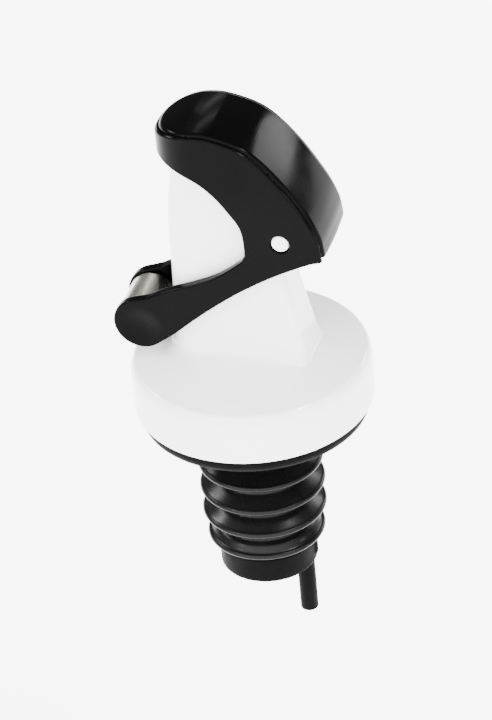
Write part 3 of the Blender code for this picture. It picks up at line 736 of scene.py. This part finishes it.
def build_vent(finish):
    r, bore = VENT_RADIUS, 0.8
    tip, top = VENT_LOW[2], VENT_HIGH[2]
    profile = rounded([(0.5 * (r + bore), top), (r, top), (r, tip), (bore, tip), (bore, top),
                       (0.5 * (r + bore), top)], [0.15, 0.55, 0.2, 0.15], 6)[:-1]
    mesh = turned_mesh("air_tube", profile, 64, (0.0, VENT_Y))
    add_piece("air_tube", mesh, finish, "root", "dark_plastic", "vent_tube")


def build_pin(finish):
    r, reach = PIN_RADIUS, PIN_HIGH[0]
    profile = rounded([(0.0, reach), (r, reach), (r, -reach), (0.0, -reach)], [0.35, 0.35], 6)
    mesh = turned_mesh("pin_body", profile, 64, (PIVOT_Y, PIVOT_Z), "X")
    add_piece("pin_body", mesh, finish, "root", "white_plastic", "pivot_pin")


def build_roller(finish):
    r, reach, bore = ROLLER_RADIUS, ROLLER_HALF_LENGTH, AXLE_RADIUS + 0.25
    profile = rounded([(0.5 * (r + bore), reach), (r, reach), (r, -reach), (bore, -reach), (bore, reach),
                       (0.5 * (r + bore), reach)], [0.45, 0.45, 0.15, 0.15], 6)[:-1]
    mesh = turned_mesh("roller_body", profile, 128, (ARM_END_Y, ARM_END_Z), "X")
    add_piece("roller_body", mesh, finish, "roller", "steel", "weight_roller")
    r, reach = AXLE_RADIUS, AXLE_SEAT - 0.05
    profile = rounded([(0.0, reach), (r, reach), (r, -reach), (0.0, -reach)], [0.2, 0.2], 4)
    mesh = turned_mesh("axle_body", profile, 48, (ARM_END_Y, ARM_END_Z), "X")
    add_piece("axle_body", mesh, finish, "lever", "steel", "roller_axle")


def build_seal(finish):
    top, bottom = SEAL_HIGH[2], SEAL_LOW[2]
    radius = SEAL_HIGH[0]
    middle = 0.5 * (SEAL_LOW[1] + SEAL_HIGH[1])
    profile = rounded([(0.0, top), (radius, top), (radius, bottom + 0.35), (radius - 1.3, bottom),
                       (0.0, bottom + 0.1)], [0.3, 0.3, 0.5], 5)
    mesh = turned_mesh("seal_pad", profile, 96, (0.0, middle))
    add_piece("seal_pad", mesh, finish, "lever", "clear_silicone", "mouth_seal")


# ---------------------------------------------------------------- stage, light and camera

CAMERA_AZIMUTH, CAMERA_HEIGHT, CAMERA_ROLL = 107.8, 34.3, 5.4
CAMERA_DISTANCE = 900.0
CAMERA_LENS = 246.5
CAMERA_RIGHT, CAMERA_UP = -1.827, 8.299


def add_camera():
    az, el, roll = (math.radians(v) for v in (CAMERA_AZIMUTH, CAMERA_HEIGHT, CAMERA_ROLL))
    back = Vector((math.sin(az) * math.cos(el), -math.cos(az) * math.cos(el), math.sin(el)))
    right = Vector((math.cos(az), math.sin(az), 0.0))
    up = back.cross(right)
    right, up = (math.cos(roll) * right - math.sin(roll) * up,
                 math.sin(roll) * right + math.cos(roll) * up)
    camera = bpy.data.objects.new("camera", bpy.data.cameras.new("camera"))
    bpy.context.scene.collection.objects.link(camera)
    turn = Matrix((right, up, back)).transposed().to_4x4()
    spot = (back * CAMERA_DISTANCE + right * CAMERA_RIGHT + up * CAMERA_UP) * MM
    camera.matrix_world = Matrix.Translation(spot) @ turn
    camera.data.lens = CAMERA_LENS
    camera.data.sensor_width = 36.0
    camera.data.clip_start = 0.01
    camera.data.clip_end = 20.0
    bpy.context.scene.camera = camera


def add_light(name, spot, target, size, power):
    lamp = bpy.data.lights.new(name, "AREA")
    lamp.shape = "RECTANGLE"
    lamp.size, lamp.size_y = size
    lamp.energy = power
    item = bpy.data.objects.new(name, lamp)
    bpy.context.scene.collection.objects.link(item)
    item.location = spot
    item.visible_camera = False
    item.rotation_euler = (Vector(target) - Vector(spot)).to_track_quat("-Z", "Y").to_euler()


BRIGHT_SIDE = (0.98, 0.12, 0.15)    # the studio is brighter on this side
SKY_DIM, SKY_BRIGHT = 0.4, 9.0
TABLE_GLOW = 4.2                # the table under the part is a light table


def add_stage():
    made, shader = new_material("floor_paint", (0.97, 0.97, 0.97), 0.9)
    shader.inputs["Specular IOR Level"].default_value = 0.1
    tint(made, shader, noise(made, 2.0, 2.0), (0.965, 0.965, 0.965), (0.975, 0.975, 0.975))
    shader.inputs["Emission Color"].default_value = (1.0, 1.0, 1.0, 1.0)
    shader.inputs["Emission Strength"].default_value = TABLE_GLOW
    shape = bmesh.new()
    bmesh.ops.create_grid(shape, x_segments=2, y_segments=2, size=4.0)
    mesh = bpy.data.meshes.new("floor")
    shape.to_mesh(mesh)
    shape.free()
    floor = bpy.data.objects.new("floor", mesh)
    bpy.context.scene.collection.objects.link(floor)
    floor.location.z = VENT_LOW[2] * MM - 0.06
    mesh.materials.append(made)

    world = bpy.data.worlds.new("studio")
    world.use_nodes = True
    nodes, links = world.node_tree.nodes, world.node_tree.links
    place = nodes.new("ShaderNodeTexCoord")
    toward = nodes.new("ShaderNodeVectorMath")
    toward.operation = "DOT_PRODUCT"
    toward.inputs[1].default_value = BRIGHT_SIDE
    spread = nodes.new("ShaderNodeMapRange")
    spread.interpolation_type = "SMOOTHSTEP"
    spread.inputs["From Min"].default_value = 0.0
    spread.inputs["From Max"].default_value = 1.0
    spread.inputs["To Min"].default_value = SKY_DIM
    spread.inputs["To Max"].default_value = SKY_BRIGHT
    links.new(place.outputs["Generated"], toward.inputs[0])
    links.new(toward.outputs["Value"], spread.inputs["Value"])
    links.new(spread.outputs["Result"], nodes["Background"].inputs["Strength"])
    nodes["Background"].inputs["Color"].default_value = (1.0, 1.0, 1.0, 1.0)
    bpy.context.scene.world = world


def add_lights():
    """Soft boxes, each at a distance from the middle along a direction."""
    middle = Vector((0.0, 0.0, 0.02))
    for name, toward, away, size, power in (
            ("top_box", (0.13, 0.54, 0.82), 0.90, (0.14, 0.14), 8.0),
            ("back_box", (-0.787, 0.53, 0.30), 0.70, (0.20, 0.24), 3.0),
            ("window_one", (-0.80, -0.19, 0.66), 0.75, (0.20, 0.03), 0.16),
            ("window_two", (-0.80, -0.19, 0.50), 0.75, (0.20, 0.03), 0.16),
            ("star_box", (-0.14, -0.81, 0.58), 0.60, (0.20, 0.10), 2.6),
            ("left_box", (0.60, -0.60, 0.53), 0.75, (0.08, 0.08), 1.5),
            ("glint_box", (0.84, -0.37, 0.38), 0.75, (0.05, 0.05), 0.7),
            ("right_box", (0.0, 0.96, 0.27), 0.75, (0.05, 0.10), 0.8)):
        add_light(name, middle + Vector(toward).normalized() * away, middle, size, power)


def main():
    add_camera()
    white, black, rubber = white_plastic(), black_plastic(), black_rubber()
    dark, silicone = dark_plastic(), clear_silicone()
    steel = brushed_steel()
    build_housing(white)
    build_lever(black)
    build_base(dark)
    build_sleeve(rubber)
    build_stem(dark)
    build_vent(dark)
    build_pin(white)
    build_roller(steel)
    build_seal(silicone)
    frame["nodes"]["stem_gasket"].data.materials.clear()
    frame["nodes"]["stem_gasket"].data.materials.append(silicone)
    add_stage()
    add_lights()


main()
